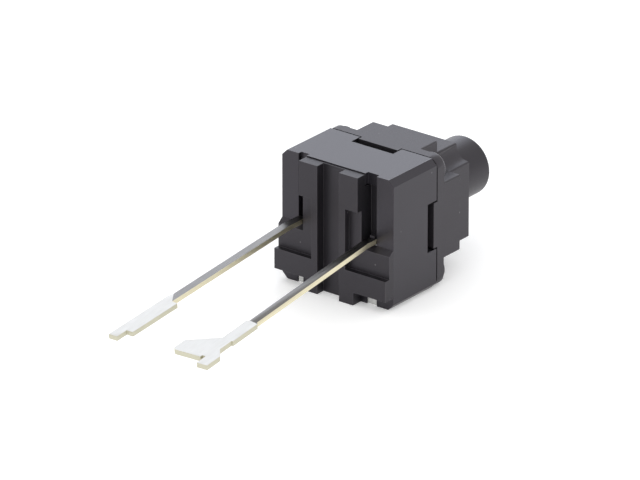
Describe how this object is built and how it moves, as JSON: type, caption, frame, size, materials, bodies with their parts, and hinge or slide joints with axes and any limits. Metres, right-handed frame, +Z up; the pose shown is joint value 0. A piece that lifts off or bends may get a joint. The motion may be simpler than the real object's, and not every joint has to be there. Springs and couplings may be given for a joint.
{
  "type": "tactile push button switch",
  "caption": "Square black tactile push button switch with a round plunger and two long plated rear leads with flat ends.",
  "frame": {"origin": "centre of the housing's underside, on which the switch lies", "axes": "+Y along the plunger towards its tip, -Y along the leads, +Z up from the side it lies on, +X to the right seen from the leads"},
  "size_m": [0.0123, 0.044, 0.012],
  "materials": {
    "black_plastic": "satin moulded",
    "plated_strip": "silver plated",
    "spring_steel": "drawn wire and sheet"
  },
  "bodies": {
    "body": {"housing": "black_plastic", "terminal_base": "black_plastic", "front_cover": "black_plastic", "return_spring": "spring_steel", "snap_dome": "spring_steel", "left_terminal": "plated_strip", "right_terminal": "plated_strip"},
    "button": {"plunger": "black_plastic"}
  },
  "joints": [
    {"name": "plunger_press", "type": "slide", "parent": "body", "child": "button", "axis": [0, -1, 0], "range_m": [0, 0.0008], "stiffness_N_per_m": 1200, "springref_m": -0.0012, "deforming": ["return_spring", "snap_dome"]}
  ]
}
